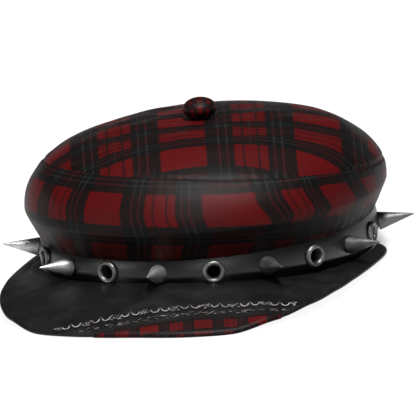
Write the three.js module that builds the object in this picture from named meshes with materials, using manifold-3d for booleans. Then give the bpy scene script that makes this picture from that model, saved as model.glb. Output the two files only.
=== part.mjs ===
// A peaked tartan cap with a studded leather band, in millimetres.
// It is modelled level, with the band's lower edge at z = 0 and the front towards -y.
// At the end it is pitched and lifted to stand on the peak's edge and the back of the band.
import * as THREE from "three";
import Module from "manifold-3d";
import { mergeVertices } from "three/addons/utils/BufferGeometryUtils.js";

// The head that the cap fits
const HEAD_GIRTH = 580;
const HEAD_OVAL = 1.05;

// The leather band
const BAND_HEIGHT = 18.3;
const BAND_EDGE_WALL = 2.2;
const BAND_MID_WALL = 3.8;
const BAND_BULGE_AT = 0.46;

// The tartan crown
const CROWN_WALL = 2;
const CROWN_OVERHANG = 8;
const CROWN_BELLY = 15.4;
const CROWN_TAPER = 1.12;
const CROWN_RISE = 41.3;
const CROWN_FLATNESS = 3.2;
const CROWN_SHOULDER = 2.05;

// The covered button on top
const BUTTON_WIDTH = 18.8;
const BUTTON_HEIGHT = 11.6;

// The leather peak and the tartan panel on its front
const PEAK_DEPTH = 61;
const PEAK_SIDE_WIDTH = 7.4;
const PEAK_SQUARENESS = 2.95;
const PEAK_SWEEP = 105;
const PEAK_ROUNDED_END = 10;
const PEAK_DROP = 12.2;
const PEAK_CURL = 1.7;
const PEAK_THICKNESS = 2.6;
const PEAK_ROOT_FRONT = 3.1;
const PEAK_ROOT_SIDE = 0.2;
const PANEL_DEPTH = 15;
const PANEL_TURN = 17;

// The ring of spikes and eyelets, turn about, with a spike at the front
const STUD_PAIRS = 10;
const SPIKE_WIDTH = 10.1;
const SPIKE_LENGTH = 20.4;
const SPIKE_TILT = 8;
const SPIKE_RIM = 0.8;
const SPIKE_TIP = 0.5;
const EYELET_WIDTH = 12.9;
const EYELET_HOLE = 7.2;
const EYELET_RING = 1.8;
const EYELET_BARREL_WALL = 0.7;
const EYELET_ABOVE_PEAK = 0.45;

// The space left between neighbouring pieces
const GAP = 0.33;

const ROUND_STEPS = 60;

const RAD = Math.PI / 180;
const manifold = await Module();
manifold.setup();

// Ellipse of mean radius 1 in plan, the radius at an angle turned from the front
function ovalShare(angle) {
  const side = Math.sin(angle) ** 2 * HEAD_OVAL;
  const front = Math.cos(angle) ** 2 / HEAD_OVAL;
  return 1 / Math.sqrt(side + front);
}

function inPlan(angle, radius, z) {
  return [radius * Math.sin(angle), -radius * Math.cos(angle), z];
}

const girthShare = Math.sqrt((HEAD_OVAL + 1 / HEAD_OVAL) / 2);
const headRadius = HEAD_GIRTH / (2 * Math.PI * girthShare);
const sideShare = ovalShare(90 * RAD);
const frontShare = ovalShare(0);
const crownLip = BAND_HEIGHT + GAP;
const studHeight = PEAK_ROOT_FRONT + EYELET_ABOVE_PEAK + EYELET_WIDTH / 2;

// Thickness of the padded band at a height
function bandWall(z) {
  const peakAt = BAND_HEIGHT * BAND_BULGE_AT;
  const reach = z < peakAt ? peakAt : BAND_HEIGHT - peakAt;
  const away = Math.abs(z - peakAt) / reach;
  return BAND_MID_WALL - (BAND_MID_WALL - BAND_EDGE_WALL) * away ** 2;
}

// A closed mesh from a grid of points: rows of equal length, closed along and across as told
function gridMesh(rows, { wrapRows, caps }) {
  const count = rows[0].length;
  const positions = rows.flat(2);
  const index = [];
  const lastRow = wrapRows ? rows.length : rows.length - 1;
  for (let i = 0; i < lastRow; i += 1) {
    const next = (i + 1) % rows.length;
    for (let j = 0; j < count; j += 1) {
      const a = i * count + j;
      const b = i * count + ((j + 1) % count);
      const c = next * count + ((j + 1) % count);
      const d = next * count + j;
      index.push(a, b, c, a, c, d);
    }
  }
  if (caps) {
    capRow(rows, 0, positions, index, true);
    capRow(rows, rows.length - 1, positions, index, false);
  }
  return facingOut(positions, index);
}

// Closes one end of a grid with a fan from the middle of its row
function capRow(rows, i, positions, index, first) {
  const count = rows[i].length;
  const middle = positions.length / 3;
  for (let axis = 0; axis < 3; axis += 1) {
    const total = rows[i].reduce((sum, point) => sum + point[axis], 0);
    positions.push(total / count);
  }
  for (let j = 0; j < count; j += 1) {
    const a = i * count + j;
    const b = i * count + ((j + 1) % count);
    index.push(...(first ? [middle, b, a] : [middle, a, b]));
  }
}

// Makes the geometry, turned inside out where its volume comes out negative
function facingOut(positions, index) {
  let volume = 0;
  const at = (i) => new THREE.Vector3().fromArray(positions, i * 3);
  for (let i = 0; i < index.length; i += 3) {
    const [a, b, c] = [at(index[i]), at(index[i + 1]), at(index[i + 2])];
    volume += a.dot(b.cross(c));
  }
  const faces = volume < 0 ? index.slice().reverse() : index;
  const geometry = new THREE.BufferGeometry();
  geometry.setAttribute("position", new THREE.Float32BufferAttribute(positions, 3));
  geometry.setIndex(faces);
  return withoutSlivers(mergeVertices(geometry, 1e-4));
}

// Drops the faces that have no area because two of their corners are the same point
function withoutSlivers(geometry) {
  const corners = Array.from(geometry.index.array);
  const kept = [];
  for (let i = 0; i < corners.length; i += 3) {
    const face = corners.slice(i, i + 3);
    if (new Set(face).size === 3) kept.push(...face);
  }
  geometry.setIndex(kept);
  return geometry;
}

// Sweeps a closed section of [mean radius, z] points round the head's oval
function ovalRing(section) {
  const rows = [];
  for (let i = 0; i < ROUND_STEPS; i += 1) {
    const angle = (i * 2 * Math.PI) / ROUND_STEPS;
    const share = ovalShare(angle);
    rows.push(section.map(([radius, z]) => inPlan(angle, radius * share, z)));
  }
  return gridMesh(rows, { wrapRows: true, caps: false });
}

function toSolid(geometry) {
  const plain = geometry.clone();
  plain.deleteAttribute("normal");
  plain.deleteAttribute("uv");
  const merged = mergeVertices(plain, 1e-4);
  return new manifold.Manifold(new manifold.Mesh({
    numProp: 3,
    vertProperties: new Float32Array(merged.attributes.position.array),
    triVerts: new Uint32Array(merged.index.array),
  }));
}

function fromSolid(solid) {
  const mesh = solid.getMesh();
  const geometry = new THREE.BufferGeometry();
  geometry.setAttribute("position", new THREE.BufferAttribute(mesh.vertProperties, 3));
  geometry.setIndex(new THREE.BufferAttribute(mesh.triVerts, 1));
  return geometry;
}

// A place on the band's outer face at the stud line, with its outward direction
function station(turn, lift) {
  const angle = turn * RAD;
  const radius = headRadius + bandWall(studHeight);
  const place = new THREE.Vector3(...inPlan(angle, radius * ovalShare(angle), studHeight));
  const outward = new THREE.Vector3(place.x / sideShare ** 2, place.y / frontShare ** 2, 0);
  outward.normalize();
  const axis = outward.clone().multiplyScalar(Math.cos(lift * RAD));
  axis.z = Math.sin(lift * RAD);
  return { place, outward, axis };
}

// Turns a lathed piece from +y to a direction and moves it
function setAlong(geometry, axis, place) {
  const turn = new THREE.Quaternion().setFromUnitVectors(new THREE.Vector3(0, 1, 0), axis);
  geometry.applyQuaternion(turn);
  geometry.translate(place.x, place.y, place.z);
  return geometry;
}

function lathe(profile, steps) {
  const points = profile.map(([radius, y]) => new THREE.Vector2(radius, y));
  const geometry = new THREE.LatheGeometry(points, steps);
  geometry.deleteAttribute("normal");
  geometry.deleteAttribute("uv");
  const merged = mergeVertices(geometry, 1e-4);
  return facingOut(Array.from(merged.attributes.position.array), Array.from(merged.index.array));
}

// The band: a padded strip bent to the head's oval
function bandGeometry() {
  const section = [];
  const outerSteps = 7;
  for (let i = 0; i <= outerSteps; i += 1) {
    const z = (BAND_HEIGHT * (1 - Math.cos((Math.PI * i) / outerSteps))) / 2;
    section.push([headRadius + bandWall(z), z]);
  }
  const soften = BAND_EDGE_WALL / 3;
  section.push([headRadius + soften, BAND_HEIGHT]);
  section.push([headRadius, BAND_HEIGHT - soften]);
  section.push([headRadius, soften]);
  section.push([headRadius + soften, 0]);
  return ovalRing(section);
}

// Round holes through the band, one for each eyelet
function withEyeletHoles(geometry) {
  let solid = toSolid(geometry);
  const holeRadius = EYELET_HOLE / 2 + EYELET_BARREL_WALL + GAP;
  const reach = BAND_MID_WALL * 3;
  for (const turn of eyeletTurns()) {
    const { place, outward } = station(turn, 0);
    const drill = new THREE.CylinderGeometry(holeRadius, holeRadius, reach * 2, 16);
    setAlong(drill, outward, place);
    solid = solid.subtract(toSolid(drill));
  }
  return fromSolid(solid);
}

const studStep = 360 / STUD_PAIRS;

function spikeTurns() {
  return Array.from({ length: STUD_PAIRS }, (_, i) => i * studStep);
}

function eyeletTurns() {
  return spikeTurns().map((turn) => turn + studStep / 2);
}

// A cone with a short straight rim and a blunt tip, its flat base at y = 0
function spikeGeometry(turn) {
  const radius = SPIKE_WIDTH / 2;
  const profile = [
    [0, 0],
    [radius, 0],
    [radius, SPIKE_RIM],
    [SPIKE_TIP, SPIKE_LENGTH - SPIKE_TIP],
    [0, SPIKE_LENGTH],
  ];
  const { place, outward, axis } = station(turn, SPIKE_TILT);
  const seat = GAP + radius * Math.sin(SPIKE_TILT * RAD);
  place.addScaledVector(outward, seat);
  return setAlong(lathe(profile, 16), axis, place);
}

// A metal grommet: a rounded ring on the outside and a barrel that lines the hole
function eyeletGeometry(turn) {
  const outer = EYELET_WIDTH / 2;
  const hole = EYELET_HOLE / 2;
  const barrel = hole + EYELET_BARREL_WALL;
  const curve = EYELET_RING / 2;
  const middle = (outer + hole) / 2;
  const profile = [
    [hole, -BAND_MID_WALL],
    [barrel, -BAND_MID_WALL],
    [barrel, 0],
    [outer - curve / 2, 0],
    [outer, curve],
    [middle + curve, EYELET_RING],
    [middle - curve, EYELET_RING],
    [hole, curve],
  ];
  profile.push(profile[0]);
  const { place, outward } = station(turn, 0);
  place.addScaledVector(outward, GAP);
  return setAlong(lathe(profile, 16), outward, place);
}

// Half outline of the crown from its lower lip over the shoulder to the middle of the top
function crownProfile(steps) {
  const lipRadius = headRadius + BAND_EDGE_WALL;
  const wideRadius = lipRadius + CROWN_OVERHANG;
  const wideZ = crownLip + CROWN_BELLY;
  const points = [];
  for (let i = 0; i < steps.lower; i += 1) {
    const share = 1 - i / steps.lower;
    const inwards = CROWN_OVERHANG * share ** CROWN_TAPER;
    points.push([wideRadius - inwards, wideZ - CROWN_BELLY * share]);
  }
  for (let i = 0; i <= steps.upper; i += 1) {
    const share = Math.sin((i / steps.upper) * (Math.PI / 2));
    const across = Math.cos((i / steps.upper) * (Math.PI / 2)) ** 0.8;
    const rise = i === steps.upper ? 1 : (1 - across ** CROWN_FLATNESS) ** (1 / CROWN_SHOULDER);
    points.push([wideRadius * (share < 1 ? across : 0), wideZ + CROWN_RISE * rise]);
  }
  return points;
}

// The same outline moved inwards by the cloth's thickness
function insideOf(profile, wall) {
  return profile.map(([radius, z], i) => {
    const [r0, z0] = profile[Math.max(i - 1, 0)];
    const [r1, z1] = profile[Math.min(i + 1, profile.length - 1)];
    const length = Math.hypot(r1 - r0, z1 - z0);
    const inward = Math.max(radius - (wall * (z1 - z0)) / length, 0);
    const down = i === 0 ? z : z + (wall * (r1 - r0)) / length;
    return radius === 0 ? [0, z - wall] : [inward, down];
  });
}

// The soft crown: a hollow shell, open at the lip
function crownGeometry() {
  const outside = crownProfile({ lower: 4, upper: 10 });
  const inside = insideOf(outside, CROWN_WALL).reverse();
  return ovalRing([...outside, ...inside]);
}

function crownTop() {
  const profile = crownProfile({ lower: 4, upper: 10 });
  return profile[profile.length - 1][1];
}

// The covered button: a squashed ball with a flat foot
function buttonGeometry() {
  const profile = [[0, 0]];
  const steps = 8;
  const from = 0.16;
  for (let i = 0; i <= steps; i += 1) {
    const angle = Math.PI * (from + ((1 - from) * i) / steps);
    const radius = i === steps ? 0 : (BUTTON_WIDTH / 2) * Math.sin(angle);
    const share = (Math.cos(Math.PI * from) - Math.cos(angle)) / (Math.cos(Math.PI * from) + 1);
    profile.push([radius, BUTTON_HEIGHT * share]);
  }
  const up = new THREE.Vector3(0, 0, 1);
  return setAlong(lathe(profile, 20), up, new THREE.Vector3(0, 0, crownTop() + GAP));
}

// Where the peak leaves the band
function peakRoot(angle) {
  return (headRadius + BAND_MID_WALL + GAP) * ovalShare(angle);
}

// The peak's outline in plan, squarer than an ellipse
function peakEdge(angle) {
  const bandRadius = headRadius + BAND_MID_WALL;
  const side = bandRadius * sideShare + PEAK_SIDE_WIDTH;
  const front = bandRadius * frontShare + PEAK_DEPTH;
  const n = PEAK_SQUARENESS;
  const across = Math.abs(Math.sin(angle) / side) ** n;
  const along = Math.abs(Math.cos(angle) / front) ** n;
  return (across + along) ** (-1 / n);
}

// How far the edge hangs down, as shares of PEAK_DROP
const EDGE_DROP = [
  { turn: 0, share: 0.95 },
  { turn: 12, share: 0.98 },
  { turn: 20, share: 1.0 },
  { turn: 30, share: 0.7 },
  { turn: 40, share: 0.48 },
  { turn: 50, share: 0.37 },
  { turn: 60, share: 0.32 },
  { turn: 180, share: 0.32 },
];

function edgeDrop(turn) {
  const after = EDGE_DROP.findIndex((row) => row.turn > Math.abs(turn));
  const [low, high] = [EDGE_DROP[after - 1], EDGE_DROP[after]];
  const part = (Math.abs(turn) - low.turn) / (high.turn - low.turn);
  const smooth = part * part * (3 - 2 * part);
  return PEAK_DROP * (low.share + (high.share - low.share) * smooth);
}

// Height of the peak's upper face at a share of the way from the band to the edge
function peakTop(turn, share) {
  const front = Math.cos(turn * RAD) ** 2;
  const root = PEAK_ROOT_SIDE + (PEAK_ROOT_FRONT - PEAK_ROOT_SIDE) * front;
  const edge = PEAK_THICKNESS - edgeDrop(turn);
  return root + (edge - root) * share ** PEAK_CURL;
}

// How much of its width the peak keeps near its two rounded ends
function endShare(turn) {
  const into = (Math.abs(turn) - (PEAK_SWEEP - PEAK_ROUNDED_END)) / PEAK_ROUNDED_END;
  return into <= 0 ? 1 : Math.max(Math.sqrt(1 - into ** 2), 0.2);
}

// The whole peak, before its front panel is parted from it
function peakGeometry() {
  const rows = [];
  const turnSteps = 46;
  const widthSteps = 5;
  for (let i = 0; i <= turnSteps; i += 1) {
    const turn = PEAK_SWEEP * ((2 * i) / turnSteps - 1);
    const angle = turn * RAD;
    const root = peakRoot(angle);
    const width = (peakEdge(angle) - root) * endShare(turn);
    const nose = Math.min(PEAK_THICKNESS / 2, width / 3) / width;
    const point = (share, under) =>
      inPlan(angle, root + width * share, peakTop(turn, share) - PEAK_THICKNESS * under);
    const row = [];
    for (let j = 0; j <= widthSteps; j += 1) {
      row.push(point(((1 - nose) * j) / widthSteps, 0));
    }
    row.push(point(1, 0.5));
    for (let j = widthSteps; j >= 0; j -= 1) {
      row.push(point(((1 - nose) * j) / widthSteps, 1));
    }
    rows.push(row);
  }
  return gridMesh(rows, { wrapRows: false, caps: true });
}

// A large block on the far side of the line where the front panel begins
function beyondPanelLine(offset) {
  const reach = 400;
  const angle = PANEL_TURN * RAD;
  const line = peakEdge(angle) - PANEL_DEPTH + offset;
  const block = new THREE.BoxGeometry(reach, reach, reach);
  block.translate(0, -line - reach / 2, 0);
  block.rotateZ(angle);
  return toSolid(block);
}

function leatherPeak() {
  return fromSolid(toSolid(peakGeometry()).subtract(beyondPanelLine(-GAP / 2)));
}

function tartanPanel() {
  return fromSolid(toSolid(peakGeometry()).intersect(beyondPanelLine(GAP / 2)));
}

// The lowest point of the peak's under face, as a reach forwards and a depth below the band
function peakLowest() {
  const { turn } = EDGE_DROP.reduce((a, b) => (b.share > a.share ? b : a));
  const root = peakRoot(turn * RAD);
  const width = peakEdge(turn * RAD) - root;
  const at = 1 - PEAK_THICKNESS / 2 / width;
  return {
    reach: (root + width * at) * Math.cos(turn * RAD),
    depth: PEAK_THICKNESS - peakTop(turn, at),
  };
}

// The pitch at which the peak's lowest points and the back of the band meet one surface
function restPitch() {
  const { reach, depth } = peakLowest();
  const back = (headRadius + BAND_EDGE_WALL) * frontShare;
  return Math.atan2(depth, reach + back);
}

const TARTAN = { color: 0x6b1518, roughness: 0.9, metalness: 0 };
const LEATHER = { color: 0x151515, roughness: 0.45, metalness: 0 };
const STEEL = { color: 0x9a9a98, roughness: 0.35, metalness: 1 };

const group = new THREE.Group();

function addPiece(name, geometry, finish) {
  geometry.computeVertexNormals();
  const mesh = new THREE.Mesh(geometry, new THREE.MeshStandardMaterial(finish));
  mesh.name = name;
  group.add(mesh);
}

function numbered(name, i) {
  return `${name}_${String(i + 1).padStart(2, "0")}`;
}

addPiece("crown", crownGeometry(), TARTAN);
addPiece("top_button", buttonGeometry(), TARTAN);
addPiece("headband", withEyeletHoles(bandGeometry()), LEATHER);
addPiece("peak", leatherPeak(), LEATHER);
addPiece("peak_panel", tartanPanel(), TARTAN);
spikeTurns().forEach((turn, i) => addPiece(numbered("spike", i), spikeGeometry(turn), STEEL));
eyeletTurns().forEach((turn, i) => addPiece(numbered("eyelet", i), eyeletGeometry(turn), STEEL));

// Pitch the cap front up, then move it to stand on z = 0 over the origin
const pitch = new THREE.Matrix4().makeRotationX(-restPitch());
const box = new THREE.Box3();
for (const mesh of group.children) {
  mesh.geometry.applyMatrix4(pitch);
  mesh.geometry.computeBoundingBox();
  box.union(mesh.geometry.boundingBox);
}
const middle = box.getCenter(new THREE.Vector3());
for (const mesh of group.children) {
  mesh.geometry.translate(-middle.x, -middle.y, -box.min.z);
}

export default group;
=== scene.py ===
"""A peaked tartan cap with a studded leather band, in metres, standing on a pale floor."""

import math
import random

import bmesh
import bpy
import numpy as np
from mathutils import Matrix, Vector


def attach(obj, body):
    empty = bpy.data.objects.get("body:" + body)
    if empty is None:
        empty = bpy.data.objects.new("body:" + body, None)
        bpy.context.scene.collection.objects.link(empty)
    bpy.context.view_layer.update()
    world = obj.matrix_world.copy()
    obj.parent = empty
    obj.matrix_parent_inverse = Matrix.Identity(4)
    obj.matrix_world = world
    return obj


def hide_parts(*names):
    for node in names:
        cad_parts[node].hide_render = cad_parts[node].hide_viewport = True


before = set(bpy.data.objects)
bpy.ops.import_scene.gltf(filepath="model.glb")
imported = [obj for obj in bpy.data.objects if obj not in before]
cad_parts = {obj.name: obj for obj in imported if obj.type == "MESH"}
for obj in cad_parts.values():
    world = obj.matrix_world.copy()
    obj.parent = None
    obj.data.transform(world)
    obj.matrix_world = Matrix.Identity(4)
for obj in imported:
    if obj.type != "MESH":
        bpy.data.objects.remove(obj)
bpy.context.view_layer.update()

MM = 0.001
RAD = math.pi / 180

# Sizes in millimetres, the peak's sweep and rounded ends in degrees. The level cap has its band's
# lower edge at z = 0 and its front towards -y.
HEAD_GIRTH = 580
HEAD_OVAL = 1.05

BAND_HEIGHT = 18.3
BAND_EDGE_WALL = 2.2
BAND_MID_WALL = 3.8
BAND_BULGE_AT = 0.46
BAND_FILL = 0.2
STUD_DIMPLE = 0.3
STUD_DIMPLE_WIDTH = 7.5

CROWN_WALL = 2
CROWN_OVERHANG = 8
CROWN_BELLY = 15.4
CROWN_TAPER = 1.12
CROWN_RISE = 41.3
CROWN_FLATNESS = 3.2
CROWN_SHOULDER = 2.05

BUTTON_WIDTH = 18.8
BUTTON_HEIGHT = 11.6
BUTTON_FOOT = 0.13
BUTTON_TUCKS = 16
BUTTON_TUCK_DEPTH = 0.35

PEAK_DEPTH = 61
PEAK_SIDE = 7.4
PEAK_SQUARENESS = 2.95
PEAK_SWEEP = 102
PEAK_ROUNDED_END = 18
PEAK_DROP = 12.2
PEAK_CURL = 1.7
PEAK_THICKNESS = 2.6
PEAK_TUCK = 1.2
PEAK_WAVE = 0.35
PEAK_ROOT_FRONT = 4.9
PEAK_ROOT_SIDE = 0.2
LEATHER_SHARE = 0.86
PANEL_DEPTH = 15
PANEL_TURN = 17 * RAD
PANEL_HALF_SWEEP = 60 * RAD
PANEL_LIFT = 0.55

# The lace: two rows along a line across the peak
LACE_DEPTH = 25.6
LACE_PITCH = 16.3
LACE_START = 4.0
LACE_LIFT = 0.75
LACE_ROWS_APART = 7.2
CURL_APART = 2.9
CURL_SMALLEST = 1.75
CURL_LARGEST = 2.15
CURL_THREAD = 0.34
FINE_THREAD = 0.2

STUD_PAIRS = 10
STUD_HEIGHT = 10
SPIKE_WIDTH = 10.1
SPIKE_LENGTH = 20.4
SPIKE_TILT = 8 * RAD
SPIKE_SINK = 1.0
EYELET_WIDTH = 12.9
EYELET_HOLE = 7.2
EYELET_RING = 1.8
EYELET_BARREL_WALL = 0.7
EYELET_SINK = 0.12
GAP = 0.33

# How the level cap is pitched, in radians, and moved to stand as the solids do
REST_PITCH = 0.047828
REST_BACK = 19.812
REST_LIFT = 4.635

# The direction the photograph is taken from and the camera's roll, in degrees, then how far off
# it stands and how wide its frame is at the cap, in metres
VIEW_TURN = 17.5
VIEW_ELEVATION = 14.9
VIEW_ROLL = -5.0
VIEW_DISTANCE = 8.0
FRAME_WIDTH = 0.2322

# The photograph's width and where the middle of the ring of studs lies in it, in pixels, then how
# far that is from the frame's centre, in shares of its width
PHOTO_WIDTH = 420
RING_PIXEL_X = 208.8
RING_PIXEL_Y = 233.6
RING_ACROSS = (RING_PIXEL_X - PHOTO_WIDTH / 2) / PHOTO_WIDTH
RING_UP = (PHOTO_WIDTH / 2 - RING_PIXEL_Y) / PHOTO_WIDTH

girth_share = math.sqrt((HEAD_OVAL + 1 / HEAD_OVAL) / 2)
HEAD_RADIUS = HEAD_GIRTH / (2 * math.pi * girth_share)


def oval_share(angle):
    """Radius of an ellipse of mean radius 1 in plan, at an angle turned from the front."""
    side = np.sin(angle) ** 2 * HEAD_OVAL
    front = np.cos(angle) ** 2 / HEAD_OVAL
    return 1 / np.sqrt(side + front)


def in_plan(angle, radius, z):
    """Level points at an angle from the front, a radius and a height."""
    return np.stack([radius * np.sin(angle), -radius * np.cos(angle), z + 0 * angle], -1)


def to_rest(points):
    """Level millimetres to the part's frame in metres."""
    p = np.asarray(points, float)
    c, s = math.cos(REST_PITCH), math.sin(REST_PITCH)
    x = p[..., 0]
    y = p[..., 1] * c + p[..., 2] * s + REST_BACK
    z = -p[..., 1] * s + p[..., 2] * c + REST_LIFT
    return np.stack([x, y, z], -1) * MM


def seen_angle(angle):
    """The same angle, turned from the middle of the photograph's view."""
    return angle - VIEW_TURN * RAD


def seen_from_above(points):
    """How far level points lie to the camera's right and towards it."""
    turn = VIEW_TURN * RAD
    across = points[..., 0] * math.cos(turn) + points[..., 1] * math.sin(turn)
    forward = points[..., 0] * math.sin(turn) - points[..., 1] * math.cos(turn)
    return across, forward


def smooth_step(part):
    return part * part * (3 - 2 * part)


def band_wall(z):
    """Thickness of the padded band at a height."""
    peak_at = BAND_HEIGHT * BAND_BULGE_AT
    reach = np.where(z < peak_at, peak_at, BAND_HEIGHT - peak_at)
    away = np.abs(z - peak_at) / reach
    return BAND_MID_WALL - (BAND_MID_WALL - BAND_EDGE_WALL) * away ** 2


def soft_noise(seed, count=6, size=1.0):
    """A smooth random function of two numbers, from a few sine waves."""
    rng = np.random.default_rng(seed)
    waves = rng.normal(0, 1.0 / size, (count, 2))
    phase = rng.uniform(0, 2 * math.pi, count)
    height = rng.uniform(0.5, 1.0, count)

    def value(u, v):
        total = sum(h * np.sin(u * w[0] + v * w[1] + p) for h, w, p in zip(height, waves, phase))
        return total / height.sum()

    return value


def grid_object(name, points, uv=None, wrap=False, material=None):
    """A mesh from a grid of points (rows, columns, 3), with a UV for each corner of each face."""
    rows, cols = points.shape[:2]
    verts = points.reshape(-1, 3)
    faces = []
    corners = []
    span = cols if wrap else cols - 1
    for i in range(rows - 1):
        for j in range(span):
            k = (j + 1) % cols
            faces.append((i * cols + j, i * cols + k, (i + 1) * cols + k, (i + 1) * cols + j))
            corners.append(((i, j), (i, j + 1), (i + 1, j + 1), (i + 1, j)))
    mesh = bpy.data.meshes.new(name)
    mesh.from_pydata(verts.tolist(), [], faces)
    if uv is not None:
        layer = mesh.uv_layers.new(name="cloth")
        flat = np.array([uv[i, j] for quad in corners for i, j in quad])
        layer.data.foreach_set("uv", flat.ravel())
    return finish_object(name, mesh, material)


def finish_object(name, mesh, material):
    """A smooth-shaded object from a mesh."""
    mesh.validate()
    mesh.polygons.foreach_set("use_smooth", [True] * len(mesh.polygons))
    obj = bpy.data.objects.new(name, mesh)
    bpy.context.scene.collection.objects.link(obj)
    if material is not None:
        mesh.materials.append(material)
    return obj


def weld_and_face(obj, distance):
    """Joins doubled points, closes open ends and turns all faces outwards."""
    bm = bmesh.new()
    bm.from_mesh(obj.data)
    bmesh.ops.remove_doubles(bm, verts=bm.verts, dist=distance)
    bmesh.ops.dissolve_degenerate(bm, edges=bm.edges, dist=1e-7)
    ends = [edge for edge in bm.edges if len(edge.link_faces) == 1]
    bmesh.ops.holes_fill(bm, edges=ends, sides=0)
    bmesh.ops.recalc_face_normals(bm, faces=bm.faces)
    bm.to_mesh(obj.data)
    bm.free()
    return obj


def joined(name, objects):
    """One object from several."""
    bm = bmesh.new()
    materials = []
    for obj in objects:
        bm.from_mesh(obj.data)
        materials.extend(m for m in obj.data.materials if m not in materials)
    mesh = bpy.data.meshes.new(name)
    bm.to_mesh(mesh)
    bm.free()
    for obj in objects:
        bpy.data.objects.remove(obj, do_unlink=True)
    for material in materials:
        mesh.materials.append(material)
    out = bpy.data.objects.new(name, mesh)
    bpy.context.scene.collection.objects.link(out)
    return out


# Materials

class Graph:
    """Short names for the nodes of one material."""

    def __init__(self, name):
        self.material = bpy.data.materials.new(name)
        self.material.use_nodes = True
        self.tree = self.material.node_tree
        self.tree.nodes.clear()
        self.shader = self.tree.nodes.new("ShaderNodeBsdfPrincipled")
        out = self.tree.nodes.new("ShaderNodeOutputMaterial")
        self.link(self.shader.outputs[0], out.inputs[0])

    def link(self, a, b):
        self.tree.links.new(a, b)

    def put(self, socket, value):
        if isinstance(value, bpy.types.NodeSocket):
            self.link(value, socket)
        elif isinstance(value, (tuple, list)) and len(value) == 3 and socket.type == "RGBA":
            socket.default_value = (*value, 1)
        else:
            socket.default_value = value

    def math(self, operation, a, b=0.0, clamp=False):
        node = self.tree.nodes.new("ShaderNodeMath")
        node.operation = operation
        node.use_clamp = clamp
        self.put(node.inputs[0], a)
        self.put(node.inputs[1], b)
        return node.outputs[0]

    def mix(self, factor, a, b):
        node = self.tree.nodes.new("ShaderNodeMix")
        node.data_type = "RGBA"
        self.put(node.inputs[0], factor)
        self.put(node.inputs[6], a)
        self.put(node.inputs[7], b)
        return node.outputs[2]

    def spread(self, value, low, high, to_low, to_high):
        """Moves a value's range from low and high to two other levels, and holds it there."""
        node = self.tree.nodes.new("ShaderNodeMapRange")
        self.put(node.inputs[0], value)
        for i, number in enumerate((low, high, to_low, to_high)):
            node.inputs[i + 1].default_value = number
        return node.outputs[0]

    def ramp(self, value, stops):
        """Grey levels along a value, from rows of place and level."""
        node = self.tree.nodes.new("ShaderNodeValToRGB")
        self.put(node.inputs[0], value)
        ramp = node.color_ramp
        while len(ramp.elements) < len(stops):
            ramp.elements.new(1.0)
        for element, (place, level) in zip(ramp.elements, stops):
            element.position = place
            element.color = (level, level, level, 1)
        return node.outputs[0]

    def noise(self, vector, scale, detail=3.0, roughness=0.5, distortion=0.0):
        node = self.tree.nodes.new("ShaderNodeTexNoise")
        self.put(node.inputs["Vector"], vector)
        node.inputs["Scale"].default_value = scale
        node.inputs["Detail"].default_value = detail
        node.inputs["Roughness"].default_value = roughness
        node.inputs["Distortion"].default_value = distortion
        return node.outputs[0]

    def cells(self, vector, scale):
        node = self.tree.nodes.new("ShaderNodeTexVoronoi")
        self.put(node.inputs["Vector"], vector)
        node.inputs["Scale"].default_value = scale
        return node.outputs["Distance"]

    def distance(self, vector, centre):
        node = self.tree.nodes.new("ShaderNodeVectorMath")
        node.operation = "DISTANCE"
        self.put(node.inputs[0], vector)
        node.inputs[1].default_value = centre
        return node.outputs["Value"]

    def parts(self, vector):
        """The x, y and z of a vector."""
        split = self.tree.nodes.new("ShaderNodeSeparateXYZ")
        self.link(vector, split.inputs[0])
        return split.outputs

    def place(self):
        return self.tree.nodes.new("ShaderNodeTexCoord").outputs["Object"]

    def height(self):
        """Height above the floor, in metres."""
        return self.parts(self.place())[2]

    def level_height(self):
        """Height above the band's lower edge in the level cap, in metres."""
        _, y, z = self.parts(self.place())
        back = self.math("SUBTRACT", y, REST_BACK * MM)
        up = self.math("SUBTRACT", z, REST_LIFT * MM)
        tilted = self.math("MULTIPLY", back, math.sin(REST_PITCH))
        return self.math("ADD", tilted, self.math("MULTIPLY", up, math.cos(REST_PITCH)))

    def uv(self):
        """The two coordinates of the cloth, in metres."""
        node = self.tree.nodes.new("ShaderNodeUVMap")
        node.uv_map = "cloth"
        return self.parts(node.outputs[0])[:2]

    def bump(self, height, strength, distance, under=None):
        node = self.tree.nodes.new("ShaderNodeBump")
        node.inputs["Strength"].default_value = strength
        node.inputs["Distance"].default_value = distance
        self.put(node.inputs["Height"], height)
        if under is not None:
            self.link(under, node.inputs["Normal"])
        return node.outputs[0]

    def set(self, **values):
        """Sets the surface's inputs, each by its name with _ for a space."""
        for name, value in values.items():
            self.put(self.shader.inputs[name.replace("_", " ")], value)


# Half of the tartan's mirrored repeat, from the middle of the wide red block to the middle of the
# block of three stripes: rows of place and redness, then rows of place and thin line
RED_STOPS = (
    (0.0, 1.0), (0.163, 1.0), (0.175, 0.0), (0.372, 0.0), (0.382, 0.9),
    (0.434, 0.9), (0.44, 0.15), (0.45, 0.15), (0.456, 0.95), (0.5, 0.95),
)
LINE_STOPS = (
    (0.0, 0.0), (0.256, 0.0), (0.262, 1.0), (0.27, 1.0), (0.276, 0.0),
    (0.316, 0.0), (0.322, 0.9), (0.33, 0.9), (0.336, 0.0), (0.488, 0.0),
    (0.496, 0.5), (0.5, 0.5),
)

RED = (0.055, 0.0012, 0.0015)
DARK = (0.0026, 0.0023, 0.0024)
# Painted shade: the weave's low threads and the crown's hem are mixed towards this, and so are the
# cloth's random darker patches
SHADOW = (0.002, 0.002, 0.002)
GREY_LINE = (0.02, 0.0235, 0.0225)
RED_LINE = (0.058, 0.0045, 0.005)
LINE_STRENGTH = 0.34
CROSSED_RED = 0.055

# Painted shade: the crown's cloth is darkened towards its hem, from the upper to the lower height, in
# metres
HEM_DARK_AT = 0.022
HEM_LIGHT_AT = 0.042
HEM_PAINTED_SHADE = 0.3


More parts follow.
